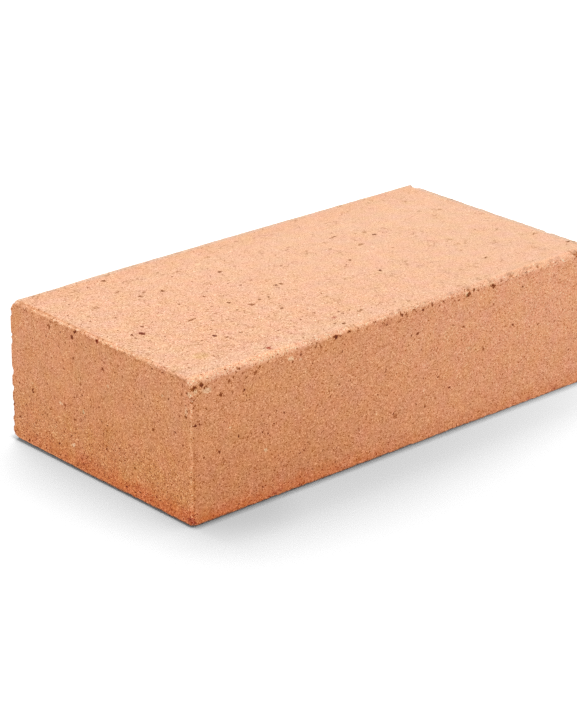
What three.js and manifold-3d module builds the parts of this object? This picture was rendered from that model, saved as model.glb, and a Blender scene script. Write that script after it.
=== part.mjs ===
// A solid pressed clay brick of the 22 x 11 x 6 cm format, fired in one piece, with no frog and no holes.
//
// Millimetres, +Z up. The brick lies on its bed. The origin is the middle of that bed, X runs along the
// length and Y across the width. The long upright faces are the stretchers, the short ones the headers,
// and the edges where faces meet are the arrises.

import * as THREE from 'three';
import { mergeVertices } from 'three/addons/utils/BufferGeometryUtils.js';
import Module from 'manifold-3d';

// The format, between flat faces.
const length = 220;
const width = 110;
const height = 60;

// Radii of the arrises. The stripping of the mould drags the upper long ones rounder than the rest.
const upperLongArris = 2.2;
const upperShortArris = 1.2;
const lowerLongArris = 0.8;
const lowerShortArris = 1;
const uprightArris = 1.1;
const stepsPerArris = 6;

// How far each profile runs past the faces that the other two profiles cut.
const overrun = 5;

// A chip's hollow is this many times as round as it is deep.
const chipRoundness = 2;
const chipFacets = 1;
const turnBetweenChips = THREE.MathUtils.degToRad(137.5);

// An arris or a corner is named by the faces that meet there: -1 and 1 are the low and high faces of an
// axis, and 0 marks the axis that an arris runs along.
const stretcherTop = new THREE.Vector3(0, -1, 1);
const headerTop = new THREE.Vector3(-1, 0, 1);
const farHeaderTop = new THREE.Vector3(1, 0, 1);
const headerUpright = new THREE.Vector3(-1, -1, 0);
const rearUpright = new THREE.Vector3(-1, 1, 0);
const stretcherFoot = new THREE.Vector3(0, -1, -1);
const frontTopCorner = new THREE.Vector3(-1, -1, 1);
const rearTopCorner = new THREE.Vector3(-1, 1, 1);
const rearFootCorner = new THREE.Vector3(-1, 1, -1);
const frontFootCorner = new THREE.Vector3(-1, -1, -1);

// Each chip: where it is, how far along its arris as a share of it, half its length there, and how deep
// it goes below the sharp arris. The arris crumbles more and more towards the far end of the stretcher.
const chips = [
  { at: stretcherTop, along: 0.065, spread: 2.4, bite: 1.7 },
  { at: stretcherTop, along: 0.13, spread: 1.8, bite: 1.4 },
  { at: stretcherTop, along: 0.285, spread: 1.9, bite: 1.6 },
  { at: stretcherTop, along: 0.33, spread: 1.5, bite: 1.5 },
  { at: stretcherTop, along: 0.375, spread: 2.4, bite: 1.6 },
  { at: stretcherTop, along: 0.44, spread: 1.6, bite: 1.4 },
  { at: stretcherTop, along: 0.49, spread: 2.8, bite: 1.7 },
  { at: stretcherTop, along: 0.54, spread: 1.9, bite: 1.6 },
  { at: stretcherTop, along: 0.575, spread: 1.7, bite: 1.8 },
  { at: stretcherTop, along: 0.62, spread: 3.2, bite: 1.8 },
  { at: stretcherTop, along: 0.665, spread: 2.8, bite: 2 },
  { at: stretcherTop, along: 0.725, spread: 2.4, bite: 2.6 },
  { at: stretcherTop, along: 0.775, spread: 3.4, bite: 2.1 },
  { at: stretcherTop, along: 0.815, spread: 2.4, bite: 2.3 },
  { at: stretcherTop, along: 0.85, spread: 2.8, bite: 2.1 },
  { at: stretcherTop, along: 0.905, spread: 2.6, bite: 1.9 },
  { at: stretcherTop, along: 0.955, spread: 3.6, bite: 2.3 },
  { at: headerTop, along: 0.94, spread: 2.2, bite: 1.1 },
  { at: headerTop, along: 0.78, spread: 1.6, bite: 1.2 },
  { at: headerTop, along: 0.635, spread: 1.8, bite: 1.4 },
  { at: headerTop, along: 0.505, spread: 1.3, bite: 1.2 },
  { at: headerTop, along: 0.3, spread: 1.5, bite: 0.9 },
  { at: headerTop, along: 0.15, spread: 1.7, bite: 1 },
  { at: farHeaderTop, along: 0.93, spread: 3, bite: 1.1 },
  { at: farHeaderTop, along: 0.3, spread: 2.4, bite: 1 },
  { at: headerUpright, along: 0.88, spread: 1.6, bite: 1.1 },
  { at: headerUpright, along: 0.76, spread: 1.2, bite: 0.9 },
  { at: rearUpright, along: 0.49, spread: 1.6, bite: 1.1 },
  { at: rearUpright, along: 0.4, spread: 1, bite: 1 },
  { at: rearUpright, along: 0.2, spread: 1.8, bite: 0.9 },
  { at: stretcherFoot, along: 0.22, spread: 1.6, bite: 0.8 },
  { at: stretcherFoot, along: 0.9, spread: 1.6, bite: 0.8 },
  { at: frontTopCorner, bite: 1.9 },
  { at: rearTopCorner, bite: 1.7 },
  { at: rearFootCorner, bite: 2.2 },
  { at: frontFootCorner, bite: 1 },
];

const firedClay = new THREE.MeshStandardMaterial({
  color: 0xd79b6f,
  roughness: 0.95,
  metalness: 0,
  flatShading: true,
});

const wasm = await Module();
wasm.setup();

/** The solid that a closed geometry bounds. */
function solidOf(geometry) {
  const bare = geometry.clone();
  bare.deleteAttribute('normal');
  bare.deleteAttribute('uv');
  const closed = mergeVertices(bare);
  return new wasm.Manifold(new wasm.Mesh({
    numProp: 3,
    vertProperties: new Float32Array(closed.attributes.position.array),
    triVerts: new Uint32Array(closed.index.array),
  }));
}

/** The geometry of a solid's surface. */
function geometryOf(solid) {
  const surface = solid.getMesh();
  const geometry = new THREE.BufferGeometry();
  geometry.setAttribute('position', new THREE.BufferAttribute(surface.vertProperties, 3));
  geometry.setIndex(new THREE.BufferAttribute(surface.triVerts, 1));
  geometry.computeVertexNormals();
  return geometry;
}

/** A rectangle about the origin whose lower and upper corners are rounded, each pair to its own radius. */
function roundedRectangle(across, up, lowerRadius, upperRadius) {
  const side = across / 2;
  const end = up / 2;
  const quarter = Math.PI / 2;
  const outline = new THREE.Shape();
  outline.absarc(side - lowerRadius, lowerRadius - end, lowerRadius, -quarter, 0);
  outline.absarc(side - upperRadius, end - upperRadius, upperRadius, 0, quarter);
  outline.absarc(upperRadius - side, end - upperRadius, upperRadius, quarter, 2 * quarter);
  outline.absarc(lowerRadius - side, lowerRadius - end, lowerRadius, 2 * quarter, 3 * quarter);
  return outline;
}

/** A profile carried both ways along an axis, past the brick's faces there. right and up are the profile's. */
function carried(profile, along, right, up) {
  const depth = along + 2 * overrun;
  const bar = new THREE.ExtrudeGeometry(profile, { depth, bevelEnabled: false, curveSegments: stepsPerArris });
  bar.translate(0, 0, -depth / 2);
  bar.applyMatrix4(new THREE.Matrix4().makeBasis(right, up, right.clone().cross(up)));
  return solidOf(bar);
}

/** The block that the plan, the stretcher's outline and the header's outline leave between them. */
function arrisedBlock() {
  const x = new THREE.Vector3(1, 0, 0);
  const y = new THREE.Vector3(0, 1, 0);
  const z = new THREE.Vector3(0, 0, 1);
  const plan = roundedRectangle(length, width, uprightArris, uprightArris);
  const stretcher = roundedRectangle(length, height, lowerShortArris, upperShortArris);
  const header = roundedRectangle(width, height, lowerLongArris, upperLongArris);
  return carried(plan, height, x, y)
    .intersect(carried(stretcher, width, x, z))
    .intersect(carried(header, length, y, z));
}

/** The rounded lump that a chip took out of its arris or corner. It reaches bite inside the sharp edge. */
function chipLump({ at, along = 0.5, spread = 0, bite }, order) {
  const run = new THREE.Vector3(1 - Math.abs(at.x), 1 - Math.abs(at.y), 1 - Math.abs(at.z));
  const radius = chipRoundness * bite;
  const outside = radius - bite;
  const lump = new THREE.IcosahedronGeometry(radius, chipFacets);
  lump.rotateX(order * turnBetweenChips);
  lump.rotateY(order * turnBetweenChips);
  if (spread > 0) {
    const halfChord = Math.sqrt(radius ** 2 - outside ** 2);
    const stretch = new THREE.Vector3(1, 1, 1).addScaledVector(run, spread / halfChord - 1);
    lump.scale(stretch.x, stretch.y, stretch.z);
  }
  const place = new THREE.Vector3(length / 2, width / 2, height / 2)
    .multiply(at.clone().addScaledVector(run, 2 * along - 1))
    .addScaledVector(at.clone().normalize(), outside);
  lump.translate(place.x, place.y, place.z);
  return solidOf(lump);
}

let block = arrisedBlock();
chips.forEach((chip, order) => {
  block = block.subtract(chipLump(chip, order));
});

const brick = new THREE.Mesh(geometryOf(block), firedClay);
brick.name = 'brick';
brick.position.z = height / 2;

const part = new THREE.Group();
part.add(brick);

export default part;
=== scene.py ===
"""The looks of a solid pressed clay brick: its worn skin, its sandy fired clay, and a plain pale
studio."""

from itertools import product
from types import SimpleNamespace

import bpy
import numpy as np
from mathutils import Matrix, Vector


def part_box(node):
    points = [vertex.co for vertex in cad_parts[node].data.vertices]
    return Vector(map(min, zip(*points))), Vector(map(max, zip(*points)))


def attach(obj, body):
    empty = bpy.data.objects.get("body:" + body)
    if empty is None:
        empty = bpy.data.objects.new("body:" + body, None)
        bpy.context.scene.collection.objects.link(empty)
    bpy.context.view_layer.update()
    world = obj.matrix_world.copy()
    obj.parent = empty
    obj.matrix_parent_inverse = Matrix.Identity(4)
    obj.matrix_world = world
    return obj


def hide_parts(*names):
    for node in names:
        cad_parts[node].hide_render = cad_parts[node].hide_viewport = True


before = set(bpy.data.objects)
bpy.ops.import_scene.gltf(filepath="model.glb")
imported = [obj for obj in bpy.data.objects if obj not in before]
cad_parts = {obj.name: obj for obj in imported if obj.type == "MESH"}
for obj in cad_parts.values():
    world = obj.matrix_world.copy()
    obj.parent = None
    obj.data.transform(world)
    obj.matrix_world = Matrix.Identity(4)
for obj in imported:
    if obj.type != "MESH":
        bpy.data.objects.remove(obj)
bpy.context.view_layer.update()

MM = 0.001

# ---------------------------------------------------------------------------------------------------------
# The brick's own measures, in millimetres from its middle, with the bed that it lies on underneath. The
# long upright faces are the stretchers, the short ones the headers, and the edges are the arrises.

NODE = "brick"
LOW, HIGH = (np.array(corner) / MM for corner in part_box(NODE))
HALF = (HIGH - LOW) / 2
MIDDLE = (HIGH + LOW) / 2

# Radii of the arrises as they were moulded.
UPPER_LONG_ARRIS = 2.2
UPPER_SHORT_ARRIS = 1.2
LOWER_LONG_ARRIS = 0.8
LOWER_SHORT_ARRIS = 1.0
UPRIGHT_ARRIS = 1.1

# The skin is a lattice of squares, closer along the arrises than over the open faces.
ARRIS_STEP = 0.42
ARRIS_ZONE = 4.2
FACE_STEP = 1.07


def stations(half):
    """Places along one axis from -half to half: even fine steps over each arris zone, even steps
    between."""
    fine = round(ARRIS_ZONE / ARRIS_STEP)
    open_face = 2 * (half - ARRIS_ZONE)
    inner = np.linspace(ARRIS_ZONE - half, half - ARRIS_ZONE, round(open_face / FACE_STEP) + 1)
    edge = np.linspace(-half, ARRIS_ZONE - half, fine + 1)[:-1]
    return np.concatenate([edge, inner, -edge[::-1]])


# ---------------------------------------------------------------------------------------------------------
# Wear: random fields and hollows, worked out for all points at once.

# A worn arris is no wider than this, and is worn fully this near to its edge.
WORN_WIDTH = 2.4
WORN_FULLY = 0.3

# Crumbs are lost from every arris, one for each step of this length, and they are this deep. The upper
# long arrises lose more, and more still towards the far header. A crumb is a ball, whose radius is this
# many times its depth, stretched by this much along its arris. The greater the lean, the more evenly it
# bites into both faces. Nearer to its middle than the core's share, a point is pushed as from there.
CRUMB_PITCH = 4.5
CRUMB_BITE = (0.55, 1.0)
UPPER_CRUMB_PITCH = 2.6
UPPER_CRUMB_BITE = (0.85, 1.4)
FAR_CRUMBS = 0.1
CRUMB_ROUNDNESS = (1.0, 1.8)
CRUMB_STRETCH = (0.7, 1.8)
CRUMB_LEAN = 3
CRUMB_CORE = 0.05
CRUMB_SEED = 7

# The relief of the whole skin and what the arrises add to it: an even depth, and waves about it, each with
# its height, its cell and its seed.
SKIN_DEPTH = 0.05
SKIN_WAVES = ((0.05, 31, 1), (0.035, 9, 2), (0.03, 2.3, 3))
ARRIS_DEPTH = 0.12
ARRIS_WAVES = ((0.12, 3.1, 4), (0.12, 1.1, 5))

# The rear arris of the upper bed wears within this width. It has an even depth, and waves that come in
# towards the far header over the first reach and towards the near one, by this share, over the second.
REAR_WIDTH = (3.0, 1.0)
REAR_DEPTH = 0.1
REAR_END_DEPTH = 0.55
REAR_WAVES = ((0.3, 2.6, 6),)
REAR_FAR_END = (20.0, 100.0)
REAR_NEAR_END = (72.0, 92.0)
REAR_NEAR_SHARE = 0.9

# The relief is shallower at the foot, which the bed has kept from wear.
FOOT_WIDTH = (2.5, 0.5)
FOOT_KEPT = 0.7

# The foot of the near header is rounder: how high and how far in that reaches, how deep it goes, and how
# much deeper it gets from the middle of the header to its rear.
HEADER_FOOT_HEIGHT = (2.2, 0.4)
HEADER_FOOT_WIDTH = (2.5, 0.6)
HEADER_FOOT_DEPTH = 0.35
HEADER_FOOT_MORE = 0.4
HEADER_FOOT_FROM = -10.0

# Knocks at the corners and the upright arrises, each with its place, its reach and how deep it bites.
NICKS = (
    ((-110.0, 55.0, 30.0), 3.4, 1.0),
    ((-110.0, 55.0, 0.2), 1.2, 0.45),
    ((-110.0, 55.0, -14.3), 0.9, 0.4),
    ((-110.0, 55.0, -30.0), 2.0, 1.2),
    ((110.0, 49.5, 30.0), 2.8, 0.7),
    ((110.0, -30.0, 30.0), 2.0, 0.7),
)
NICK_CORE = 0.4

# The rear upright arris by the near header keeps the mould's sharp edge: how far in along both faces
# together that reaches, how near the corners it stops, how much of the edge is kept, how much relief is
# held back there, and the depth of a chip that has broken the edge already.
KEEN_WIDTH = (6.0, 3.0)
KEEN_ENDS = (1.5, 4.0)
KEEN = 0.8
KEEN_SMOOTH = 0.8
KEEN_CHIPPED = (0.02, 0.2)

# Moves every lattice number above zero.
LATTICE_START = 4096


def scattered(corner, seed):
    """A number between -1 and 1 for each lattice corner: its three whole numbers are multiplied by large
    odd numbers, mixed by shifts and exclusive ors, and the low 24 bits are scaled."""
    mixed = corner.astype(np.uint64) @ np.array([73856093, 19349663, 83492791], np.uint64)
    mixed += np.uint64(seed * 2654435761)
    for shift, factor in ((33, 0xFF51AFD7ED558CCD), (33, 0xC4CEB9FE1A85EC53)):
        mixed ^= mixed >> np.uint64(shift)
        mixed *= np.uint64(factor)
    mixed ^= mixed >> np.uint64(33)
    return (mixed & np.uint64(0xFFFFFF)).astype(float) / 0x7FFFFF - 1


def rough(points, cell, seed):
    """A smooth random field between -1 and 1: random numbers on a cubic lattice of this cell, blended
    between neighbours along each axis by the curve 3t^2 - 2t^3."""
    place = points / cell + LATTICE_START
    corner = np.floor(place)
    t = place - corner
    t = t * t * (3 - 2 * t)
    total = np.zeros(len(points))
    for step in product((0, 1), repeat=3):
        weight = np.where(step, t, 1 - t).prod(1)
        total += weight * scattered(corner + step, seed)
    return total


def relief(points, depth, waves):
    """A depth and the waves about it."""
    for height, cell, seed in waves:
        depth = depth + height * rough(points, cell, seed)
    return depth


def faded(value, start, end):
    """0 up to start, 1 from end on, and 3t^2 - 2t^3 between."""
    t = ((value - start) / (end - start)).clip(0, 1)
    return t * t * (3 - 2 * t)


def near_face(value, half, width):
    """0 further in than the first width from the face at half, 1 nearer than the second, faded between."""
    return faded(value, half - width[0], half - width[1])


def laid_on(points, node):
    """The nearest places to these points on a node's surface, found by a Shrinkwrap modifier."""
    probe = bpy.data.objects.new("probe", bpy.data.meshes.new("probe"))
    probe.data.vertices.add(len(points))
    probe.data.vertices.foreach_set("co", (points * MM).astype(np.float32).ravel())
    bpy.context.scene.collection.objects.link(probe)
    wrap = probe.modifiers.new("wrap", "SHRINKWRAP")
    wrap.target = node
    wrap.wrap_method = "NEAREST_SURFACEPOINT"
    found = np.empty(points.size, np.float32)
    shape = probe.evaluated_get(bpy.context.evaluated_depsgraph_get()).data
    shape.vertices.foreach_get("co", found)
    mesh = probe.data
    bpy.data.objects.remove(probe)
    bpy.data.meshes.remove(mesh)
    return found.reshape(-1, 3).astype(float) / MM


def crumbled(points, draw):
    """Points pushed out of small lumps strung along the twelve arrises. A lump is a ball stretched along
    its arris. Its middle lies outside the arris, in a random direction between those of the two faces, and
    a point inside it moves straight away from the middle to the ball's surface."""
    for axis in range(3):
        across = [other for other in range(3) if other != axis]
        for signs in product((-1, 1), repeat=2):
            upper = axis == 0 and signs[1] > 0
            pitch, bites = (UPPER_CRUMB_PITCH, UPPER_CRUMB_BITE) if upper else (CRUMB_PITCH, CRUMB_BITE)
            for _ in range(round(2 * HALF[axis] / pitch)):
                along = draw.uniform(-1, 1)
                bite = draw.uniform(*bites) * (1 + FAR_CRUMBS * along * upper)
                radius = draw.uniform(*CRUMB_ROUNDNESS) * bite
                middle = np.zeros(3)
                middle[axis] = along * HALF[axis]
                reach = HALF[across] + (radius - bite) * draw.dirichlet((CRUMB_LEAN, CRUMB_LEAN)) ** 0.5
                middle[across] = np.array(signs) * reach
                stretch = np.ones(3)
                stretch[axis] = draw.uniform(*CRUMB_STRETCH)
                offset = (points - middle) / (radius * stretch)
                far = np.sqrt((offset ** 2).sum(1))
                inside = far < 1
                push = offset / far[:, None].clip(CRUMB_CORE) - offset
                points[inside] += push[inside] * radius * stretch
    return points


def depth_below(points):
    """How deep points lie below the moulded surface: for each two axes, the arris radius less the distance
    from the line that the arris is rounded about, and the least of the three."""
    x, y, z = np.abs(points).T
    upper = points[:, 2] > 0
    depth = np.full(len(points), np.inf)
    for first, second, pair, radius in (
        (y, z, (1, 2), np.where(upper, UPPER_LONG_ARRIS, LOWER_LONG_ARRIS)),
        (x, z, (0, 2), np.where(upper, UPPER_SHORT_ARRIS, LOWER_SHORT_ARRIS)),
        (x, y, (0, 1), UPRIGHT_ARRIS),
    ):
        beyond = (first - HALF[pair[0]] + radius).clip(0), (second - HALF[pair[1]] + radius).clip(0)
        depth = np.minimum(depth, radius - np.hypot(*beyond))
    return depth


def keenness(points):
    """How much of the mould's edge is left: 1 along the rear upright arris by the near header, fading out
    over its width, by its foot and where a chip has broken it."""
    x, y, z = points.T
    keen = near_face(y - x, HALF[0] + HALF[1], KEEN_WIDTH) * faded(z + HALF[2], *KEEN_ENDS)
    return keen * (1 - faded(depth_below(points), *KEEN_CHIPPED))


def wear(points, edge, keen):
    """How deep the skin is worn in: the relief everywhere, more at the edges and along the rear arris,
    less at the foot and on the keen arris, and then the header's rounder foot and the nicks, each of which
    is a cube with a faded rim."""
    x, y, z = points.T
    depth = relief(points, SKIN_DEPTH, SKIN_WAVES)
    depth += edge * relief(points, ARRIS_DEPTH, ARRIS_WAVES)
    rear = near_face(y, HALF[1], REAR_WIDTH) * near_face(z, HALF[2], REAR_WIDTH)
    ends = faded(x, *REAR_FAR_END) + REAR_NEAR_SHARE * faded(-x, *REAR_NEAR_END)
    depth += rear * (REAR_DEPTH + ends * relief(points, REAR_END_DEPTH, REAR_WAVES))
    depth *= 1 - FOOT_KEPT * near_face(-z, HALF[2], FOOT_WIDTH)
    depth *= 1 - KEEN_SMOOTH * keen
    lift = near_face(-z, HALF[2], HEADER_FOOT_HEIGHT) * near_face(-x, HALF[0], HEADER_FOOT_WIDTH)
    depth += lift * (HEADER_FOOT_DEPTH + HEADER_FOOT_MORE * faded(y, HEADER_FOOT_FROM, HALF[1]))
    for place, reach, bite in NICKS:
        depth += bite * (1 - faded(np.abs(points - place).max(1), NICK_CORE * reach, reach))
    return depth.clip(0)


def worn_skin(sharp, node):
    """The worn skin for points of the sharp box: each goes to the nearest place on the moulded brick, or
    most of the way back to the sharp box on the keen arris, crumbs are taken out along the arrises, and
    the wear is let in along the line from the box's inside. Also how deep each point then lies below the
    moulded surface."""
    outward = sharp - sharp.clip(WORN_WIDTH - HALF, HALF - WORN_WIDTH)
    outward /= np.sqrt((outward ** 2).sum(1))[:, None]
    gap = HALF - np.abs(sharp)
    edge = 1 - faded(np.sort(gap, axis=1)[:, 1], WORN_FULLY, WORN_WIDTH)
    points = laid_on(sharp + MIDDLE, node) - MIDDLE
    keen = keenness(points)
    below_corner = faded(HALF[2] - points[:, 2], *KEEN_ENDS)
    points += (sharp - points) * (KEEN * keen * below_corner)[:, None]
    points = crumbled(points, np.random.default_rng(CRUMB_SEED))
    points -= outward * wear(points, edge, keen)[:, None]
    return points, depth_below(points)


# ---------------------------------------------------------------------------------------------------------
# The skin as a mesh.

# The gap between faces on the unfolded map.
MAP_GAP = 2.0


def face_grid(axis, sign, counts):
    """The lattice numbers of a face's corners: a grid over the other two axes, wound to face outwards."""
    first, second = [other for other in range(3) if other != axis]
    if (sign > 0) == (axis == 1):
        first, second = second, first
    grid = np.zeros((counts[first], counts[second], 3), int)
    grid[..., first] = np.arange(counts[first])[:, None]
    grid[..., second] = np.arange(counts[second])[None, :]
    grid[..., axis] = (counts[axis] - 1) * (sign > 0)
    return grid


def squares(grid):
    """The four corners of each square of a grid, in order round it."""
    return np.stack([grid[:-1, :-1], grid[1:, :-1], grid[1:, 1:], grid[:-1, 1:]], 2).reshape(-1, 4, 3)


def unfolded(sharp, axis, sign):
    """Places on the map for one face's points: the long faces stacked, and the headers standing beside
    them."""
    length, width, height = 2 * HALF
    across, up = {0: (2, 1), 1: (0, 2), 2: (0, 1)}[axis]
    left = 0 if axis else length + MAP_GAP
    level = (sign > 0) * (2 * HALF[up] + MAP_GAP)
    if axis == 1:
        level += 2 * (width + MAP_GAP)
    side = 2 * (width + height + 2 * MAP_GAP)
    u = sharp[:, across] + HALF[across] + left
    v = sharp[:, up] + HALF[up] + level
    return (np.stack([u, v], 1) + MAP_GAP / 2) / side


def brick_skin(node):
    """A closed lattice over the brick: six grids of squares that share their rims. Squares that meet share the
    corner with the same key, (i ny + j) nz + k for lattice numbers i, j and k out of nx, ny and nz."""
    lines = [stations(half) for half in HALF]
    counts = [len(line) for line in lines]

    def placed(corners):
        return np.stack([line[corners[:, k]] for k, line in enumerate(lines)], 1)

    rings, flat = [], []
    for axis, sign in product(range(3), (-1, 1)):
        ring = squares(face_grid(axis, sign, counts))
        rings.append(ring)
        flat.append(unfolded(placed(ring.reshape(-1, 3)), axis, sign))
    corners = np.concatenate(rings).reshape(-1, 3)
    key = (corners[:, 0] * counts[1] + corners[:, 1]) * counts[2] + corners[:, 2]
    _, first, number = np.unique(key, return_index=True, return_inverse=True)
    points, depth = worn_skin(placed(corners[first]), node)

    mesh = bpy.data.meshes.new("brick_skin")
    mesh.from_pydata((points + MIDDLE) * MM, [], number.reshape(-1, 4))
    mesh.polygons.foreach_set("use_smooth", np.ones(len(mesh.polygons), bool))
    sheet = mesh.uv_layers.new(name="OFBake")
    sheet.uv.foreach_set("vector", np.concatenate(flat).astype(np.float32).ravel())
    hollow = mesh.attributes.new("hollow", "FLOAT", "POINT")
    hollow.data.foreach_set("value", depth.astype(np.float32))
    mesh.validate()
    mesh.update()
    skin = bpy.data.objects.new("brick_skin", mesh)
    bpy.context.scene.collection.objects.link(skin)
    return skin


# ---------------------------------------------------------------------------------------------------------
# Shader maths.


class Wire:
    """A value, vector or colour inside a material. Sums, differences, products and quotients of wires and
    numbers add Math nodes, and add() makes any other node."""

    def __init__(self, tree, socket=None):
        self.tree = tree
        self.socket = socket

    def add(self, kind, settings=None, sockets=None, output=0):
        """A new node of this kind. Its settings are set first, then its sockets get numbers or wires."""
        node = self.tree.nodes.new(kind)
        for name, value in (settings or {}).items():
            setattr(node, name, value)
        for name, value in (sockets or {}).items():
            if isinstance(value, Wire):
                self.tree.links.new(value.socket, node.inputs[name])
            else:
                node.inputs[name].default_value = value
        return Wire(self.tree, node.outputs[output])

    def other(self, output):
        """Another output of the node that this wire comes from."""
        return Wire(self.tree, self.socket.node.outputs[output])

    def maths(self, operation, *values):
        return self.add("ShaderNodeMath", {"operation": operation}, dict(enumerate(values)))

    def vector_maths(self, operation, *values, output=0):
        return self.add("ShaderNodeVectorMath", {"operation": operation}, dict(enumerate(values)), output)

    def __add__(self, other):
        return self.maths("ADD", self, other)

    __radd__ = __add__

    def __sub__(self, other):
        return self.maths("SUBTRACT", self, other)

    def __rsub__(self, other):
        return self.maths("SUBTRACT", other, self)

    def __mul__(self, other):
        return self.maths("MULTIPLY", self, other)

    __rmul__ = __mul__

    def __truediv__(self, other):
        return self.maths("DIVIDE", self, other)

    def least(self, other):
        return self.maths("MINIMUM", self, other)

    def most(self, other):
        return self.maths("MAXIMUM", self, other)

    def size(self):
        return self.maths("ABSOLUTE", self)

    def fade(self, start, end, low=0.0, high=1.0):
        """low up to start, high from end on, and a smooth step between. start may be above end."""
        if start > end:
            start, end, low, high = end, start, high, low
        values = {"Value": self, "From Min": start, "From Max": end, "To Min": low, "To Max": high}
        return self.add("ShaderNodeMapRange", {"interpolation_type": "SMOOTHSTEP", "clamp": False}, values)

    def tint(self, factor, colour):
        """This colour mixed towards another by a factor."""
        settings = {"data_type": "RGBA", "blend_type": "MIX"}
        return self.add("ShaderNodeMix", settings, {0: factor, 6: self, 7: colour}, output=2)

    def power(self, exponent):
        """This colour with each channel raised to a power."""
        return self.add("ShaderNodeGamma", None, {"Color": self, "Gamma": exponent})

    def colour(self, red, green, blue):
        return self.add("ShaderNodeCombineColor", None, {0: red, 1: green, 2: blue})


def noise(place, cell, detail=0.0, roughness=0.5):
    """Noise about 0.5 with humps about one cell across."""
    values = {"Vector": place, "Scale": 1 / cell, "Detail": detail, "Roughness": roughness}
    return place.add("ShaderNodeTexNoise", {"noise_dimensions": "3D"}, values)


def grains(place, cell):
    """The distance to the nearest grain's middle, as a share of the cell, and two random numbers that each
    grain has to itself."""
    distance = place.add("ShaderNodeTexVoronoi", {"feature": "F1"}, {"Vector": place, "Scale": 1 / cell})
    lots = place.add("ShaderNodeSeparateColor", None, {"Color": distance.other("Color")})
    return distance, lots, lots.other(1)


def ragged(place, cell, reach):
    """Places pushed about by up to half this reach, so that a round spot read there is ragged."""
    push = noise(place, cell).other("Color")
    level = push.vector_maths("SUBTRACT", place, (reach / 2, reach / 2, reach / 2))
    return push.vector_maths("MULTIPLY_ADD", push, (reach, reach, reach), level)


# A speck fades in over this share of its radius, in from its rim. A grain has one when its lot and the
# share of grains that have one come to 1, give or take a little.
SPECK_RIM = (0.0, 0.45)
SPECK_LOT = (0.995, 1.005)


def specks(place, cell, share, least, most):
    """Scattered spots, 1 in their middles and 0 outside. This share of the grains has one, and its radius
    lies between these two shares of the cell."""
    distance, lot, size = grains(place, cell)
    radius = size * (most - least) + least
    return (1 - distance / radius).fade(*SPECK_RIM) * (lot + share).fade(*SPECK_LOT)


# ---------------------------------------------------------------------------------------------------------
# Marks that have a place of their own.

TOP, STRETCHER, HEADER = "top", "stretcher", "header"

# How far into the brick a mark reaches from its face, and the shares of its size at which it begins to
# show and shows in full.
MARK_REACH = 2.0
MARK_FADES = (1.12, 0.5)

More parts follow.
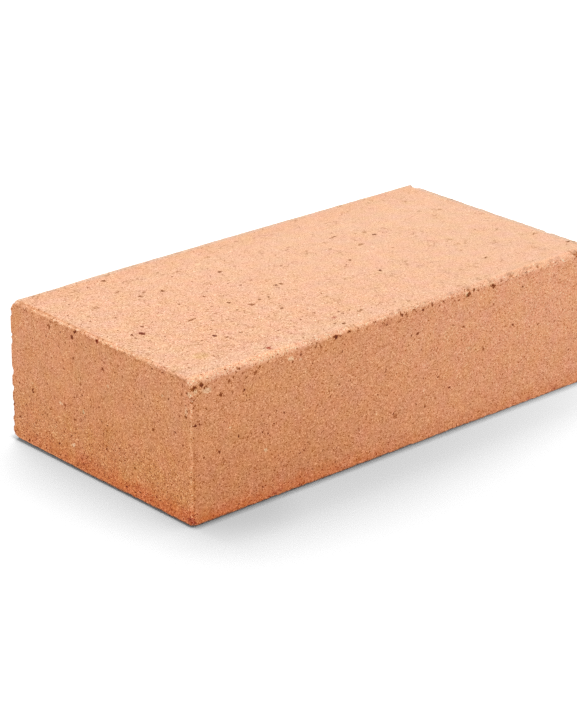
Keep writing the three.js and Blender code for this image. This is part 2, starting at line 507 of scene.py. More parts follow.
# Each mark: millimetres along the face from its middle and up it (from the bed, or across the top from its
# middle), its length and width, how far it is turned, and how strong it is.
# Pits are only painted: their darkness is painted shade, with no hollow in the mesh.
PITS = {
    TOP: (
        (-74.7, -27.2, 1.9, 2.4, 20, 1.0),
        (-98.0, -6.6, 1.4, 2.8, -20, 0.7),
        (-94.2, -7.4, 2.2, 3.8, 0, 0.6),
        (-89.3, -2.0, 1.6, 1.8, 0, 0.6),
        (-70.4, -9.0, 6.5, 1.3, 10, 0.6),
        (-58.7, 22.6, 1.7, 2.4, -20, 0.65),
        (-69.5, 23.4, 2.4, 2.2, 0, 0.4),
        (-65.4, 26.0, 3.0, 1.5, 40, 0.35),
        (-73.8, 32.8, 3.0, 1.6, 20, 0.4),
        (-69.5, 46.4, 2.4, 2.0, 30, 0.55),
        (-63.2, 7.0, 1.6, 1.6, 0, 0.6),
        (-50.5, 7.0, 2.2, 1.3, 45, 0.45),
        (-47.6, -4.5, 1.6, 2.3, -15, 0.55),
        (-42.0, -11.9, 3.0, 2.6, 0, 0.45),
        (-36.0, -22.8, 2.6, 1.5, 10, 0.55),
        (-27.5, 23.9, 3.0, 1.7, 15, 0.65),
        (-20.6, -2.2, 1.9, 2.1, 0, 0.95),
        (-17.8, -2.4, 2.1, 2.3, 0, 0.45),
        (-28.8, -50.4, 1.9, 1.8, 0, 0.65),
        (-14.5, -44.4, 5.0, 1.4, 15, 0.4),
        (-3.9, 13.0, 1.9, 1.2, 45, 0.5),
        (21.5, -0.5, 1.8, 1.6, 30, 0.65),
        (22.7, -17.2, 1.9, 2.1, 0, 0.9),
        (7.3, -49.4, 1.9, 2.2, 0, 0.4),
        (35.6, 24.2, 6.5, 1.2, 10, 0.45),
        (38.2, 10.2, 4.2, 1.6, 5, 0.4),
        (51.1, 15.3, 2.0, 2.1, 0, 0.75),
        (66.0, -35.0, 2.6, 1.5, 30, 0.6),
        (102.4, -28.0, 4.2, 0.9, 35, 0.5),
        (106.0, -44.0, 2.8, 1.4, 10, 0.6),
    ),
    STRETCHER: (
        (-105.1, 56.7, 2.3, 2.5, 20, 0.85),
        (-108.4, 56.4, 2.5, 2.2, -30, 0.8),
        (-102.8, 55.5, 2.0, 1.4, 0, 0.7),
        (-105.5, 53.7, 1.6, 0.8, 0, 0.5),
        (-108.1, 52.0, 2.0, 0.7, 40, 0.6),
        (-109.2, 52.6, 1.8, 0.6, -45, 0.5),
        (-108.8, 48.8, 1.4, 0.8, 15, 0.5),
        (-107.0, 45.4, 0.8, 2.0, 25, 0.4),
        (-95.5, 50.5, 1.6, 2.2, 10, 0.75),
        (-86.7, 58.2, 2.0, 1.1, -20, 1.1),
        (-89.3, 55.5, 1.8, 1.0, 10, 0.5),
        (-91.4, 54.9, 1.2, 1.6, 0, 0.6),
        (-84.5, 56.0, 1.6, 0.9, 0, 0.4),
        (-83.0, 53.7, 2.0, 0.9, 20, 0.45),
        (-78.6, 54.4, 1.6, 1.6, -30, 0.55),
        (-76.3, 56.1, 2.2, 0.9, 15, 0.5),
        (-72.4, 57.2, 1.3, 0.9, 0, 0.6),
        (-59.6, 53.6, 1.7, 1.1, 0, 0.8),
        (-63.6, 34.0, 1.3, 1.4, 20, 0.8),
        (-53.3, 15.5, 1.5, 1.0, 0, 0.7),
        (-82.0, 29.4, 1.3, 0.9, 0, 0.5),
        (-91.5, 20.2, 1.2, 1.2, 0, 0.5),
        (-45.0, 56.0, 1.4, 2.2, 30, 0.55),
        (-37.2, 58.0, 2.4, 1.8, 0, 1.1),
        (-34.8, 57.6, 1.4, 1.0, -15, 0.7),
        (-30.3, 58.3, 2.2, 1.2, 10, 0.8),
        (-25.8, 57.7, 1.3, 1.0, 0, 0.6),
        (-24.6, 55.2, 1.0, 1.4, 0, 0.4),
        (-21.0, 57.0, 1.5, 1.0, 0, 0.45),
        (-16.8, 58.5, 1.5, 0.8, 0, 0.5),
        (0.6, 57.7, 1.3, 1.0, 0, 0.6),
        (5.2, 58.1, 1.4, 1.0, 0, 0.6),
        (15.0, 58.3, 1.7, 1.0, -20, 0.7),
        (18.3, 54.2, 1.0, 1.0, 0, 0.5),
        (26.2, 57.8, 1.6, 1.0, 30, 0.7),
        (27.3, 56.5, 1.2, 1.2, 0, 0.6),
        (33.6, 59.2, 1.4, 0.9, 0, 0.6),
        (54.4, 58.3, 1.3, 1.2, 0, 0.7),
        (-1.8, 57.9, 1.4, 1.6, 20, 0.95),
        (-2.9, 55.6, 2.2, 0.8, 30, 0.6),
        (9.9, 57.4, 1.9, 1.1, -10, 0.95),
        (35.4, 57.0, 3.4, 2.2, 20, 0.8),
        (38.8, 58.2, 1.7, 1.6, 0, 0.8),
        (49.7, 57.2, 2.5, 1.7, -15, 1.0),
        (-3.8, 15.6, 3.0, 2.4, 30, 0.35),
        (99.6, 58.3, 3.6, 1.2, -40, 0.8),
    ),
    HEADER: (
        (15.7, 55.7, 1.5, 2.1, 0, 0.9),
        (13.6, 58.5, 2.4, 1.4, -20, 1.0),
        (0.2, 58.5, 2.1, 1.5, -20, 0.4),
        (-38.6, 58.0, 2.6, 0.8, 0, 0.65),
        (-43.7, 58.1, 2.0, 0.8, 0, 0.6),
        (30.0, 56.0, 1.3, 2.7, -20, 0.6),
        (15.0, 47.0, 1.6, 1.6, 0, 0.6),
        (-3.0, 48.2, 2.0, 1.1, 10, 0.75),
        (-51.8, 44.4, 1.5, 1.5, 0, 0.8),
        (-42.0, 48.4, 1.4, 1.1, 0, 0.6),
        (-45.8, 36.0, 1.2, 1.2, 0, 0.85),
        (-33.1, 33.0, 1.4, 1.4, 0, 0.75),
        (-5.2, 23.2, 1.3, 1.3, 0, 0.75),
        (14.7, 21.4, 2.1, 1.2, 0, 0.75),
        (21.0, 25.4, 1.1, 2.0, 0, 0.55),
        (41.4, 25.0, 1.3, 2.4, -20, 0.75),
        (-22.0, 13.2, 1.1, 1.6, 0, 0.6),
        (50.0, 11.2, 1.4, 1.2, 0, 0.7),
        (44.5, 2.6, 1.5, 1.3, 0, 0.9),
        (-52.4, 54.0, 1.3, 1.1, 0, 0.8),
        (-54.5, 56.0, 1.1, 2.4, 0, 0.7),
        (-49.6, 52.9, 1.3, 1.0, 0, 0.7),
        (-49.9, 56.3, 1.2, 1.1, 0, 0.7),
    ),
}

# Iron in the clay: red-brown spots.
IRON_SPOTS = {
    TOP: (
        (-67.3, -50.0, 2.6, 3.4, 0, 0.85),
        (-94.2, -7.4, 3.0, 4.6, 0, 0.5),
        (-27.2, -43.1, 3.2, 2.4, 20, 0.55),
    ),
    STRETCHER: (
        (-109.4, 3.6, 2.6, 2.0, 0, 0.9),
        (-108.6, 1.7, 3.0, 1.6, -20, 1.0),
        (-67.0, 2.2, 9.0, 1.6, 5, 0.4),
        (-98.6, 56.8, 4.6, 1.8, 10, 0.25),
        (-11.0, 56.4, 9.0, 1.8, 5, 0.25),
        (90.0, 1.6, 4.0, 1.8, 0, 0.5),
        (73.8, 1.4, 2.4, 2.0, 0, 0.6),
    ),
    HEADER: (
        (-54.0, 3.0, 3.0, 3.4, 0, 0.8),
        (0.2, 58.5, 2.8, 2.0, -20, 0.75),
    ),
}

# Lime and pale grog.
PALE_SPOTS = {
    TOP: (
        (-76.5, 3.0, 3.4, 3.0, 0, 0.45),
        (-28.8, 36.3, 3.2, 3.0, 0, 0.6),
        (-58.0, -36.8, 4.2, 2.6, 10, 0.35),
    ),
    STRETCHER: (
        (-102.4, 53.8, 5.4, 2.6, -10, 0.5),
        (-70.6, 58.4, 1.8, 1.0, 0, 0.5),
        (-108.0, 54.8, 2.6, 2.2, 0, 0.5),
        (-60.4, 55.2, 3.2, 1.8, -20, 0.7),
        (-55.6, 53.8, 1.6, 1.4, 0, 0.5),
        (-72.8, 21.3, 1.9, 1.6, 0, 0.75),
        (-90.8, 35.4, 1.1, 1.2, 0, 0.6),
        (34.5, 57.6, 1.2, 2.6, 10, 0.9),
        (36.6, 33.6, 2.0, 1.4, 0, 0.5),
    ),
    HEADER: (
        (-6.0, 42.2, 1.5, 1.4, 0, 0.6),
        (23.5, 25.6, 2.8, 1.5, 0, 0.6),
        (9.2, 26.4, 1.5, 2.0, 10, 0.85),
        (15.9, 10.3, 2.3, 1.8, -20, 0.75),
        (-38.5, 48.6, 1.6, 1.3, 0, 0.6),
        (41.6, 28.4, 1.5, 1.2, 0, 0.5),
        (-53.6, 53.8, 2.4, 2.0, 0, 0.6),
        (-52.0, 46.5, 1.6, 4.5, 0, 0.4),
    ),
}

# A dull greenish stain on the bed.
STAINS = {
    TOP: ((-91.5, -39.0, 9.0, 7.0, 20, 0.4),),
}

# For each face, the axes along it, up it and out of it.
FACE_AXES = {
    TOP: ((1, 0, 0), (0, 1, 0), (0, 0, 1)),
    STRETCHER: ((1, 0, 0), (0, 0, 1), (0, -1, 0)),
    HEADER: ((0, 1, 0), (0, 0, 1), (-1, 0, 0)),
}


def marked(place, marks):
    """How strongly these marks show: each is an ellipsoid about its own place, full in its inner half.
    Marks on one face that are turned alike share one turned frame."""
    total = 0.0
    for face, spots in marks.items():
        along_axis, up_axis, outward = np.array(FACE_AXES[face])
        bed = 0 if face == TOP else HALF[2]
        views = {}
        for along, up, length, width, turn, strength in spots:
            if turn not in views:
                lean = np.radians(turn)
                first = along_axis * np.cos(lean) + up_axis * np.sin(lean)
                second = up_axis * np.cos(lean) - along_axis * np.sin(lean)
                rows = np.array([first, second, outward])
                parts = [place.vector_maths("DOT_PRODUCT", place, row, output=1) for row in rows]
                views[turn] = place.add("ShaderNodeCombineXYZ", None, dict(enumerate(parts))), rows
            view, rows = views[turn]
            middle = along * along_axis + (up - bed) * up_axis + HALF @ np.abs(outward) * outward
            grow = np.array([2 / length, 2 / width, 1 / MARK_REACH])
            spot = place.vector_maths("MULTIPLY_ADD", view, grow, -rows @ middle * grow)
            shown = spot.vector_maths("LENGTH", spot, output=1).fade(*MARK_FADES, 0.0, strength)
            total = shown.most(total)
    return total


# ---------------------------------------------------------------------------------------------------------
# The clay.

# Colours are linear red, green and blue. The struck upper bed is paler and less saturated than the moulded
# sides, partly as painted light for the stronger light on the bed, and both are paler towards the far corner.
SIDE_CLAY = (0.702, 0.298, 0.137, 1)
SIDE_FAR_CLAY = (0.862, 0.392, 0.215, 1)
# LOW_CLAY and HEADER_LOW_CLAY are painted shade towards the floor.
LOW_CLAY = (0.618, 0.233, 0.096, 1)
HEADER_LOW_CLAY = (0.635, 0.243, 0.084, 1)
TOP_CLAY = (0.763, 0.414, 0.253, 1)
TOP_FAR_CLAY = (0.767, 0.450, 0.290, 1)
RIM_CLAY = (0.69, 0.325, 0.168, 1)
# Painted shade along the bed's far edges.
FAR_EDGE_SHADE_CLAY = (0.655, 0.45, 0.325, 1)
# Painted highlight on the upper arrises.
ARRIS_HIGHLIGHT_CLAY = (0.98, 0.505, 0.30, 1)
FOOT_CLAY = (0.60, 0.157, 0.045, 1)
STAIN = (0.62, 0.38, 0.15, 1)
IRON = (0.36, 0.055, 0.018, 1)
LIME = (0.92, 0.60, 0.36, 1)
# Painted shadow where the foot meets the floor.
CONTACT_SHADOW = (0.13, 0.055, 0.03, 1)

# How far the clay's hue wanders, its noise, and the darkest and the palest that a grain gets, as the eye
# sees it: 1 is white. A colour raised to one over EYE is about as the eye sees it.
HUE_SHIFT = (0.04, 0.035, 0.065)
HUE_NOISE = (8.0, 1.0, 0.5)
DARKEST = (0.40, 0.15, 0.0)
PALEST = (0.99, 0.93, 0.85)
EYE = 2.2

# In what follows four numbers are a fade: from where, to where, and its values there. Two are a fade from
# 0 to 1, if nothing else is said. Lengths are millimetres, heights are from the foot, and farness is 0 at the
# near corner and 1 at the far corner.

# The clay's noises: the cell, the detail and the roughness. Then the cell of its sand, and the cell and
# the reach of what makes its spots ragged.
FINE = (0.75, 1.0, 0.6)
MIDDLING = (1.6, 1.0, 0.6)
PATCH = (7.0, 2.0, 0.5)
SAND_CELL = 0.38
RAGGED = (0.8, 1.4)

# How far a height wanders with the middling noise, and how much the width counts beside the length in the
# farness.
HEIGHT_WANDERS = 1.6
FARNESS_ACROSS = 0.8

# How far in from each header its own look reaches.
HEADER_WIDTH = (3.0, 1.0)

# The sides' clay gives way to the struck bed's between these heights. They are lower at the near end of a
# header's arris and higher over the rest of it, and higher along the long arrises by the near header.
BED_STARTS = (58.25, 59.35)
HEADER_BED_SHIFT = (-42.0, -10.0, -0.3, 0.2)
LONG_BED_SHIFT = 0.2
LONG_BED_FROM = -65.0
LONG_BED_REACH = (48.0, 35.0)

# The sides darken downwards, which is painted shade, and turn deep orange at the foot, both less so towards
# the far corner, and the headers less so towards the rear. The foot's height wanders with the patches and
# with the middling noise, and is greater on the headers by so much.
LOW_HEIGHT = (50.0, 0.0)
FOOT_HEIGHT = (8.5, 0.0)
FOOT_WANDERS = (7.0, 3.0)
FOOT_FARNESS = (-0.1, 0.5, 1.0, 0.42)
HEADER_FOOT_HIGHER = 2.8
HEADER_REAR = (-30.0, 50.0)
HEADER_REAR_LESS = 0.4

# The struck bed is as pale as at the far corner along the stretcher and by the near header, by these shares.
PALE_STRETCHER = (-36.0, -50.0)
PALE_STRETCHER_SHARE = 0.8
PALE_HEADER = (-82.0, -98.0)
PALE_HEADER_SHARE = 0.4

# A rim of deeper clay runs along the bed by the headers, wider to the rear, and a little of it along the
# rear. Along the far edges a greyer painted shade covers it, where the rounded arris turns away from the
# light.
RIM_WIDTH = (2.3, 0.7)
RIM_WIDENS = 0.012
RIM_REAR = (34.0, 50.0)
RIM_REAR_SHARE = 0.25
FAR_EDGE_SHADE_REAR = (49.5, 52.5)
FAR_EDGE_SHADE_HEADER = (105.5, 107.5)
FAR_EDGE_SHADE_SHARE = 0.85

# The upper arrises get a painted highlight: the long ones within this width, which grows at both ends, and
# less towards the far corner, and the short ones within their own.
ARRIS_HIGHLIGHT_HEIGHT = (54.0, 57.0)
ARRIS_HIGHLIGHT_LONG = (2.6, 0.6)
ARRIS_HIGHLIGHT_LONG_FARNESS = (0.0, 0.5, 0.95, 0.75)
ARRIS_HIGHLIGHT_NEAR_END = (-45.0, -72.0)
ARRIS_HIGHLIGHT_FAR_END = (30.0, 60.0)
ARRIS_HIGHLIGHT_ENDS_GROW = 0.9
ARRIS_HIGHLIGHT_SHORT = (1.3, 0.2)
ARRIS_HIGHLIGHT_SHORT_SHARE = 0.3

# How light and dark the grains of sand are, the fine noise that is the bump as well, and the mottling. How
# sandy the sides are, how much more the headers and their coarse lower part, and how sandy the bed is.
GRIT = 1.9
BUMP = 0.12
MOTTLE = 0.02
SANDY_SIDE = 0.85
SANDY_HEADER = 0.07
SANDY_COARSE = 0.3
SANDY_BED = (0.0, 1.0, 0.86, 0.42)
COARSE_HEIGHT = (32.0, 12.0)

# How crowded the dark specks are on the sides, how much more in the coarse part, and on the bed. There are
# a few large and many small ones, each with a cell, a share of the crowd, the least and greatest radius as
# shares of the cell, and how dark they are.
CROWD_SIDE = (0.3, 0.9, 0.17, 0.06)
CROWD_COARSE = 0.36
CROWD_BED = (0.1, 0.8, 0.25, 0.01)
FEW_SPECKS = (2.4, 0.6, 0.14, 0.34, 0.38)
MANY_SPECKS = (1.25, 1.1, 0.16, 0.36, 0.30)

# The arrises are broken within this width, most at the top and in patches. Crumbs there are dark specks,
# partly the clay's darker colour and partly painted shade, with a cell, a share and a least and greatest
# radius. They are darker towards the far corner, and fainter on the bed and on the headers by these shares.
BROKEN_WIDTH = (3.8, 2.0)
BROKEN_HEIGHT = (50.0, 56.0, 0.15, 1.0)
BROKEN_PATCH = (0.40, 0.52, 0.3, 1.0)
CRUMB_SPECKS = (1.3, 0.6, 0.22, 0.46)
CRUMB_DARK = (0.2, 0.45, 0.26, 0.38)
CRUMBS_LESS_ON_BED = 0.75
CRUMBS_LESS_ON_HEADER = 0.5

# A header's upper arris has a broken seam: dark dashes at one height where the middling noise is low, pale
# ones above where it is high, and both weaker at the near end.
SEAM_WANDERS = 1.2
SEAM_WIDTH = (0.6, 0.2)
DARK_SEAM_HEIGHT = 58.1
DARK_SEAM_NOISE = (0.50, 0.38)
DARK_SEAM = 0.11
PALE_SEAM_HEIGHT = 59.1
PALE_SEAM_NOISE = (0.49, 0.60)
PALE_SEAM = 0.1
SEAM_NEAR_END = (-40.0, -20.0, 0.4, 1.0)

# A dark crease runs down the near header's upright arrises: its place along the brick, how far it wanders,
# how wide it is, how far it reaches round the arris, the height below which it shows, and how dark it is.
CREASE_FROM = -108.5
CREASE_WANDERS = 1.0
CREASE_WIDTH = (0.7, 0.2)
CREASE_REACH = (2.0, 0.8)
CREASE_HEIGHT = (46.0, 16.0)
CREASE = 0.05

# Arrises that are still whole get a painted highlight: the upper ones less towards the far corner, and the
# upright ones more towards the top.
HIGHLIGHT_WIDTH = (1.3, 0.3)
HIGHLIGHT_HOLLOW = (0.6, 0.35)
HIGHLIGHT_HEIGHT = (56.0, 58.0)
HIGHLIGHT_FARNESS = (0.2, 0.7, 0.09, 0.05)
UPRIGHT_HIGHLIGHT_WIDTH = (1.3, 0.5)
UPRIGHT_HIGHLIGHT_HEIGHT = (15.0, 45.0, 0.07, 0.1)

# A header gets painted shade by its rear upright arris, and so does the rear of the bed's rim by it.
SHADE_AT_REAR = (53.2, 54.4)
REAR_SHADE = 0.08
RIM_SHADE_REAR = (25.0, 40.0)
RIM_SHADE_WIDTH = (2.5, 0.8)
RIM_SHADE = 0.05

# Short cracks where the struck bed dragged: lines where this noise crosses its middle, in some patches.
DRAG = (5.0, 1.0, 0.5)
CRACK_WIDTH = (0.02, 0.004)
CRACK_PATCH = (0.54, 0.60)
CRACK = 0.14

# Pale grog: the cell and reach of its ragged edge, its own cell, its share, what a broken arris adds to
# that, its least and greatest radius, and how pale it is.
GROG_RAGGED = (0.9, 2.0)
GROG_CELL = 2.9
GROG_SHARE = 0.12
GROG_IN_BROKEN = 0.35
GROG_RADII = (0.14, 0.30)
GROG = 0.07

# Hollows of this depth, which wanders with the fine noise, are darker, less on the bed: partly the bare clay
# there, partly painted shade. Pits get painted shade, so dark on the sides, and darker on the bed.
SHADED_BARE_DEPTH = (0.5, 1.1)
SHADED_BARE_WANDERS = 0.5
SHADED_BARE_LESS_ON_BED = 0.6
SHADED_BARE = 0.28
PIT_SHADE = 0.44
PIT_SHADE_ON_BED = 0.16

# A thin dark line of painted shadow runs along the foot, where the ragged edge would lie in its own shadow
# against the floor. On the headers it is higher, and weaker towards the rear.
CONTACT_HEIGHT = (1.2, 0.2)
CONTACT_HEADER_HIGHER = 0.5
CONTACT = 0.85

# The surface: the bump's depth, and how rough it is and how much that changes with the shade.
BUMP_DEPTH = 0.8
ROUGHNESS = 0.92
ROUGHNESS_SHIFT = 0.3
SPECULAR = 0.2


def surveyed(tree):
    """What the clay goes by at each place: its millimetres from the brick's middle, how far in it is from
    each face, its height, its noises, how much it is header and struck bed, and its farness towards the far
    corner."""
    start = Wire(tree)
    raw = start.add("ShaderNodeTexCoord", output="Object")
    frame_of_brick = {"Vector": raw, "Location": MIDDLE * MM, "Scale": (MM, MM, MM)}
    where = start.add("ShaderNodeMapping", {"vector_type": "TEXTURE"}, frame_of_brick)
    x = start.add("ShaderNodeSeparateXYZ", None, {0: where})
    y, z = x.other("Y"), x.other("Z")
    hollow = start.add("ShaderNodeAttribute", {"attribute_name": "hollow"}, output="Fac")
    torn = ragged(where, *RAGGED)
    from_x, from_y, from_z = HALF[0] - x.size(), HALF[1] - y.size(), HALF[2] - z.size()
    # The second least of the three depths.
    from_arris = from_x.most(from_y).least(from_x.most(from_z)).least(from_y.most(from_z))
    fine, middling, patch = noise(where, *FINE), noise(where, *MIDDLING), noise(where, *PATCH)
    _, sand, _ = grains(where, SAND_CELL)
    height = z + (middling - 0.5) * HEIGHT_WANDERS + HALF[2]
    header = from_x.fade(*HEADER_WIDTH)
    near_long = (x - LONG_BED_FROM).size().fade(*LONG_BED_REACH)
    bed = height - header * y.fade(*HEADER_BED_SHIFT) - near_long * LONG_BED_SHIFT
    bed = bed.fade(*BED_STARTS)
    farness = (x + y * FARNESS_ACROSS).fade(-HALF[0] - FARNESS_ACROSS * HALF[1], HALF[0])
    return SimpleNamespace(
        start=start, where=where, torn=torn, x=x, y=y, z=z, from_x=from_x, from_y=from_y, from_z=from_z,
        from_arris=from_arris, hollow=hollow, fine=fine, middling=middling, patch=patch, sand=sand,
        height=height, header=header, bed=bed, farness=farness,
    )


def ground_colour(at):
    """The clay's colour before its sand and its flaws: the sides with their painted shade towards the floor,
    down to the deep orange foot, the struck bed with its rims and the painted shade along its far edges, the
    painted highlights on the upper arrises, and the stains and spots that have a place of their own."""
    start, y, farness, header = at.start, at.y, at.farness, at.header
    side = start.colour(*SIDE_CLAY[:3]).tint(farness, SIDE_FAR_CLAY)
    foot_height = at.height + (at.patch - 0.5) * FOOT_WANDERS[0] + (at.middling - 0.5) * FOOT_WANDERS[1]
    near = farness.fade(*FOOT_FARNESS)
    # Painted shade: the sides darken towards the floor.
    low = start.colour(*LOW_CLAY[:3]).tint(header, HEADER_LOW_CLAY)
    side = side.tint(foot_height.fade(*LOW_HEIGHT) * near, low)
    near = near * (1 - header * y.fade(*HEADER_REAR) * HEADER_REAR_LESS)
    side = side.tint((foot_height - header * HEADER_FOOT_HIGHER).fade(*FOOT_HEIGHT) * near, FOOT_CLAY)

    by_stretcher = y.fade(*PALE_STRETCHER) * PALE_STRETCHER_SHARE
    outer = by_stretcher.most(at.x.fade(*PALE_HEADER) * PALE_HEADER_SHARE)
    # The bed's paler, less saturated colour is partly painted light.
    bed = start.colour(*TOP_CLAY[:3]).tint(farness.most(outer), TOP_FAR_CLAY)
    rim = (at.from_x - y * RIM_WIDENS).fade(*RIM_WIDTH)
    bed = bed.tint(rim.most(y.fade(*RIM_REAR) * RIM_REAR_SHARE), RIM_CLAY)
    # Painted shade along the bed's far edges, where the rounded arris turns away from the light.
    far_edge_shade = y.fade(*FAR_EDGE_SHADE_REAR).most(at.x.fade(*FAR_EDGE_SHADE_HEADER))
    bed = bed.tint(far_edge_shade * FAR_EDGE_SHADE_SHARE, FAR_EDGE_SHADE_CLAY)

    # Painted highlights along the upper arrises.
    ends = at.x.fade(*ARRIS_HIGHLIGHT_NEAR_END).most(at.x.fade(*ARRIS_HIGHLIGHT_FAR_END))
    long_arris = (at.from_y.most(at.from_z) - ends * ARRIS_HIGHLIGHT_ENDS_GROW).fade(*ARRIS_HIGHLIGHT_LONG)
    long_arris = long_arris * farness.fade(*ARRIS_HIGHLIGHT_LONG_FARNESS)
    short_arris = at.from_x.most(at.from_z).fade(*ARRIS_HIGHLIGHT_SHORT) * ARRIS_HIGHLIGHT_SHORT_SHARE
    arris_highlight = long_arris.most(short_arris) * at.height.fade(*ARRIS_HIGHLIGHT_HEIGHT)
    ground = side.tint(at.bed, bed).tint(arris_highlight, ARRIS_HIGHLIGHT_CLAY)
    for marks, colour in ((STAINS, STAIN), (PALE_SPOTS, LIME), (IRON_SPOTS, IRON)):
        ground = ground.tint(marked(at.torn, marks), colour)
    return ground


def speckled(at, coarse):
    """How dark the specks in the clay are: a few large ones, or many small ones, whichever is darker."""
    side = at.farness.fade(*CROWD_SIDE) + coarse * CROWD_COARSE
    crowd = (1 - at.bed) * side + at.bed * at.farness.fade(*CROWD_BED)
    found = []
    for cell, share, least, most, dark in (FEW_SPECKS, MANY_SPECKS):
        found.append(specks(at.torn, cell, crowd * share, least, most) * dark)
    return found[0].most(found[1])


def seam_along_header(at):
    """How much darker a header's upper arris is along its broken seam."""
    level = at.z + (at.fine - 0.5) * SEAM_WANDERS + HALF[2]
    dark = (level - DARK_SEAM_HEIGHT).size().fade(*SEAM_WIDTH) * at.middling.fade(*DARK_SEAM_NOISE)
    pale = (level - PALE_SEAM_HEIGHT).size().fade(*SEAM_WIDTH) * at.middling.fade(*PALE_SEAM_NOISE)
    return (dark * DARK_SEAM - pale * PALE_SEAM) * at.header * at.y.fade(*SEAM_NEAR_END)


def crease_down_arris(at):
    """How much darker the near header's upright arrises are along their crease."""
    across = at.x + (at.fine - 0.5) * CREASE_WANDERS - CREASE_FROM
    line = across.size().fade(*CREASE_WIDTH) * at.from_y.fade(*CREASE_REACH)
    return line * at.height.fade(*CREASE_HEIGHT) * CREASE


def darkening(at, coarse):
    """How much darker than its ground each place is, as the eye sees it: the darkest of its specks, its crumbs
    (partly painted shade), its cracks, its pits (painted shade) and the bare clay and painted shade in its
    hollows, and the seam and the painted shade by the rear arris, less the pale grog and the painted
    highlights on the arrises."""
    bed, header = at.bed, at.header
    lost = speckled(at, coarse)
    broken = at.from_arris.fade(*BROKEN_WIDTH) * at.height.fade(*BROKEN_HEIGHT)
    broken = broken * at.patch.fade(*BROKEN_PATCH)
    # Crumbs: partly darker clay, partly painted shade.
    crumbs = specks(at.torn, *CRUMB_SPECKS) * broken * at.farness.fade(*CRUMB_DARK)
    crumbs = crumbs * (1 - bed * CRUMBS_LESS_ON_BED) * (1 - header * CRUMBS_LESS_ON_HEADER)
    seam = seam_along_header(at)
    crease = crease_down_arris(at)

    # Painted highlights along the whole arrises.
    painted_highlight = at.from_arris.fade(*HIGHLIGHT_WIDTH) * at.hollow.fade(*HIGHLIGHT_HOLLOW)
    painted_highlight = painted_highlight * at.height.fade(*HIGHLIGHT_HEIGHT) * at.farness.fade(*HIGHLIGHT_FARNESS)
    upright = at.from_x.most(at.from_y).fade(*UPRIGHT_HIGHLIGHT_WIDTH) * (1 - bed) * at.height.fade(*UPRIGHT_HIGHLIGHT_HEIGHT)
    painted_highlight = painted_highlight.most(upright)
    # Painted shade by the rear upright arris, on the header and on the bed's rim.
    rim_shade = at.y.fade(*RIM_SHADE_REAR) * at.from_x.fade(*RIM_SHADE_WIDTH) * bed * RIM_SHADE
    rear_shade = (at.y.fade(*SHADE_AT_REAR) * REAR_SHADE).most(rim_shade) * header

    drag = (noise(at.torn, *DRAG) - 0.5).size()
    crack = drag.fade(*CRACK_WIDTH) * at.patch.fade(*CRACK_PATCH) * bed * CRACK
    grog_share = broken * GROG_IN_BROKEN + GROG_SHARE
    grog = specks(ragged(at.where, *GROG_RAGGED), GROG_CELL, grog_share, *GROG_RADII) * (broken + 1)
    # Bare clay and painted shade in the hollows.
    shaded_bare = (at.hollow + (at.fine - 0.5) * SHADED_BARE_WANDERS).fade(*SHADED_BARE_DEPTH)
    shaded_bare = shaded_bare * (1 - bed * SHADED_BARE_LESS_ON_BED) * SHADED_BARE
    # Painted shade in the pits.
    pit_shade = marked(at.torn, PITS) * (bed * PIT_SHADE_ON_BED + PIT_SHADE)
    lost = lost.most(crumbs).most(crack).most(shaded_bare).most(pit_shade).most(crease)
    return lost + seam + rear_shade - grog * GROG - painted_highlight


def fired_clay():
    """Sandy fired clay: pale on the bed that was struck off, partly as painted light, darker and grittier on
    the moulded sides, deep orange at the foot, with grog, pores, pits and crumbled arrises, and painted shade
    and painted highlights. Its ground is turned into a colour as the eye sees it, ground ^ (1 / EYE), where
    its hue wanders and the dark flaws are taken off, and back again. Sand adds EYE * seen ^ (EYE - 1) * shade
    to that, which the eye sees as a small step of shade."""
    material = bpy.data.materials.new("fired_clay")
    material.use_nodes = True
    tree = material.node_tree
    shader = tree.nodes["Principled BSDF"]
    at = surveyed(tree)
    ground = ground_colour(at)

    grit = at.sand - 0.5
    height = (at.fine - 0.5) * BUMP
    coarse = at.header * at.height.fade(*COARSE_HEIGHT)
    sandy_side = coarse * SANDY_COARSE + at.header * SANDY_HEADER + SANDY_SIDE
    sandy = (1 - at.bed) * sandy_side + at.bed * at.farness.fade(*SANDY_BED)
    mottle = (at.middling - 0.5) * MOTTLE + (at.patch - 0.5) * MOTTLE
    shade = (grit * grit * grit * GRIT + height + mottle) * sandy
    lost = darkening(at, coarse)

    hue = noise(at.where, *HUE_NOISE).other("Color")
    seen = ground.power(1 / EYE)
    seen = seen.vector_maths("MULTIPLY_ADD", hue, HUE_SHIFT, seen)
    seen = seen.vector_maths("SUBTRACT", seen, np.array(HUE_SHIFT) / 2)
    seen = seen.vector_maths("SUBTRACT", seen, lost)
    clay = seen.power(EYE)
    clay = clay.vector_maths("MULTIPLY_ADD", seen.power(EYE - 1), shade * EYE, clay)
    clay = clay.vector_maths("MAXIMUM", clay, np.array(DARKEST) ** EYE)
    clay = clay.vector_maths("MINIMUM", clay, np.array(PALEST) ** EYE)
    # Painted shadow: a thin dark line along the foot.
    contact = CONTACT - at.header * at.y.fade(*HEADER_REAR) * HEADER_REAR_LESS
    clay = clay.tint((at.height - at.header * CONTACT_HEADER_HIGHER).fade(*CONTACT_HEIGHT) * contact, CONTACT_SHADOW)

    bump_values = {"Strength": 1.0, "Distance": BUMP_DEPTH * MM, "Height": height}
    bump = at.start.add("ShaderNodeBump", None, bump_values)
    roughness = ROUGHNESS + (shade - lost) * ROUGHNESS_SHIFT
    tree.links.new(clay.socket, shader.inputs["Base Color"])
    tree.links.new(bump.socket, shader.inputs["Normal"])
    tree.links.new(roughness.socket, shader.inputs["Roughness"])
    shader.inputs["Specular IOR Level"].default_value = SPECULAR
    return material


# ---------------------------------------------------------------------------------------------------------
# The studio.

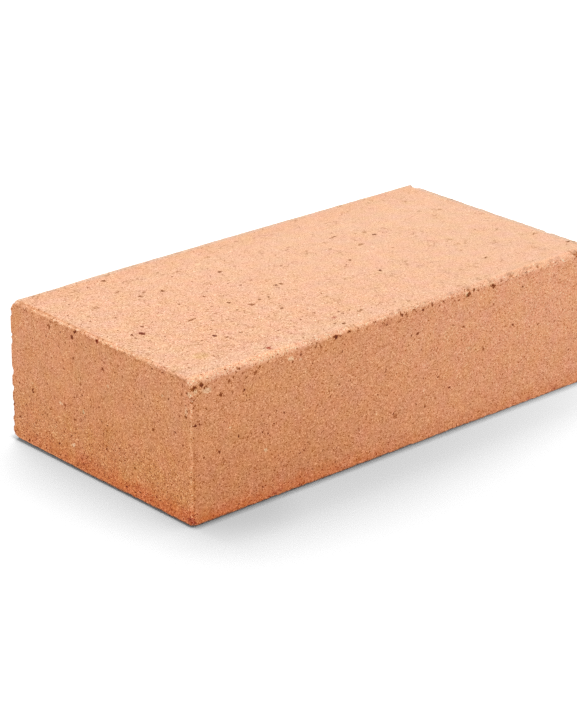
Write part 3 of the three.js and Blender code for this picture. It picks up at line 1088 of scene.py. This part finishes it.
# The floor, in metres: how far it reaches, how white it is, and from where to where it takes on a glow,
# painted light that lifts the brick's shadow up to plain white away from the brick.
FLOOR_REACH = 8.0
FLOOR_WHITE = 0.95
FLOOR_GLOWS = (0.1, 0.6)

# The strength of the light from above and of what a white floor throws up, and the height of a ray's
# direction over which one gives way to the other.
ROOM_LIGHT = 0.5
FLOOR_LIGHT = 1.3
HORIZON = (-0.1, 0.1)

# A painted shadow darkens the floor by the near corner, where the cast shadow is deepest: where, how much
# darker the floor is there and how far that reaches, and the reach over which a painted glow clears the
# shadow away from it.
SHADE_MIDDLE = (-0.088, -0.05, 0.0)
SHADE = 0.12
SHADE_REACH = (0.012, 0.034)
SHADE_CLEARS = (0.05, 0.54)

# Each lamp: its place, its size and its watts.
KEY_LAMP = ((-0.12, -0.012, 1.6), 0.09, 10.3)
BACK_LAMP = ((0.2, 0.72, 1.35), 0.85, 8.0)


def floor():
    """A wide pale floor under the brick. It has a painted shadow by the near corner, and a painted glow that
    lifts the shadow away from the brick and from that corner, up to plain white. It lets the room's light
    through from below, so that the brick's sides are lit down to the foot as a bright floor lights them."""
    reach = FLOOR_REACH
    corners = [(-reach, -reach, 0), (reach, -reach, 0), (reach, reach, 0), (-reach, reach, 0)]
    mesh = bpy.data.meshes.new("floor")
    mesh.from_pydata(corners, [], [(0, 1, 2, 3)])
    ground = bpy.data.objects.new("floor", mesh)
    bpy.context.scene.collection.objects.link(ground)
    ground.visible_shadow = False
    ground.visible_diffuse = False
    paint = bpy.data.materials.new("floor_paint")
    paint.use_nodes = True
    shader = paint.node_tree.nodes["Principled BSDF"]
    shader.inputs["Roughness"].default_value = 1
    shader.inputs["Specular IOR Level"].default_value = 0
    place = Wire(paint.node_tree).add("ShaderNodeTexCoord", output="Object")
    # Painted shadow by the near corner, and a painted glow that lifts the rest of the shadow up to white.
    from_shade = place.vector_maths("DISTANCE", place, SHADE_MIDDLE, output=1)
    white = from_shade.fade(*SHADE_REACH, FLOOR_WHITE * (1 - SHADE), FLOOR_WHITE)
    painted_glow = place.vector_maths("LENGTH", place, output=1).fade(*FLOOR_GLOWS)
    painted_glow = painted_glow.most(from_shade.fade(*SHADE_CLEARS))
    paint.node_tree.links.new(white.socket, shader.inputs["Base Color"])
    paint.node_tree.links.new(painted_glow.socket, shader.inputs["Emission Color"])
    shader.inputs["Emission Strength"].default_value = 1
    mesh.materials.append(paint)
    return ground


def room():
    """Soft light from all round, brighter from below, as a white floor throws it up. Where the camera or a
    reflection looks straight at it, it is white. The light doesn't bounce, so the floor's shadow stays a
    neutral grey, and nothing is smoothed afterwards, so the sand in the clay stays sharp."""
    world = bpy.data.worlds.new("room")
    world.use_nodes = True
    bpy.context.scene.world = world
    world.cycles.sampling_method = "NONE"
    bpy.context.scene.cycles.diffuse_bounces = 0
    bpy.context.scene.cycles.use_denoising = False
    tree = world.node_tree
    camera_ray = Wire(tree).add("ShaderNodeLightPath", output="Is Camera Ray")
    seen = camera_ray.most(camera_ray.other("Is Glossy Ray")).most(camera_ray.other("Is Transmission Ray"))
    way = Wire(tree).add("ShaderNodeTexCoord", output="Generated")
    upward = way.add("ShaderNodeSeparateXYZ", None, {0: way}).other("Z")
    light = upward.fade(*HORIZON, FLOOR_LIGHT, ROOM_LIGHT)
    strength = seen * (1 - light) + light
    background = tree.nodes["Background"]
    background.inputs["Color"].default_value = (1, 1, 1, 1)
    tree.links.new(strength.socket, background.inputs["Strength"])


def lamp(place, size, watts):
    """A square soft lamp that faces the brick."""
    light = bpy.data.lights.new("softbox", "AREA")
    light.shape = "SQUARE"
    light.size = size
    light.energy = watts
    holder = bpy.data.objects.new("softbox", light)
    bpy.context.scene.collection.objects.link(holder)
    holder.location = place
    holder.rotation_euler = (-Vector(place)).to_track_quat("-Z", "Y").to_euler()


# ---------------------------------------------------------------------------------------------------------
# The camera.

# The picture in pixels, and the lens, the sensor and what the camera sees between in millimetres.
PICTURE = (577, 721)
LENS = 135.0
SENSOR = 36.0
CLIP = (50.0, 50000.0)

# Where the camera is, in degrees and millimetres, and the pixel on which the brick's middle falls.
AZIMUTH = -42.55
ELEVATION = 22.3
ROLL = 0.59
DISTANCE = 1105.0
BRICK_MIDDLE_AT = (309.1, 340.6)


def camera():
    """Looks at the brick's middle from an azimuth, an elevation and a distance, rolled a little, and is
    moved in its own plane until the brick's middle falls on its pixel."""
    azimuth, elevation, roll = np.radians([AZIMUTH, ELEVATION, ROLL])
    back = Vector((
        np.sin(azimuth) * np.cos(elevation),
        -np.cos(azimuth) * np.cos(elevation),
        np.sin(elevation),
    ))
    level = Vector((0, 0, 1)).cross(back).normalized()
    upright = back.cross(level)
    right = level * np.cos(roll) + upright * np.sin(roll)
    up = back.cross(right)
    view = bpy.data.cameras.new("camera")
    view.lens = LENS
    view.sensor_width = SENSOR
    view.clip_start, view.clip_end = np.array(CLIP) * MM
    pixel = SENSOR / max(PICTURE) / LENS * DISTANCE
    aside = (BRICK_MIDDLE_AT[0] - PICTURE[0] / 2) * pixel
    above = (PICTURE[1] / 2 - BRICK_MIDDLE_AT[1]) * pixel
    place = Vector(MIDDLE) + back * DISTANCE - right * aside - up * above
    holder = bpy.data.objects.new("camera", view)
    holder.matrix_world = Matrix.Translation(place * MM) @ Matrix((right, up, back)).transposed().to_4x4()
    bpy.context.scene.collection.objects.link(holder)
    bpy.context.scene.camera = holder


# ---------------------------------------------------------------------------------------------------------

camera()
skin = brick_skin(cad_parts[NODE])
skin.data.materials.append(fired_clay())
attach(skin, "root")
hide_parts(NODE)
floor()
room()
lamp(*KEY_LAMP)
lamp(*BACK_LAMP)
bpy.context.scene.view_settings.view_transform = "Standard"
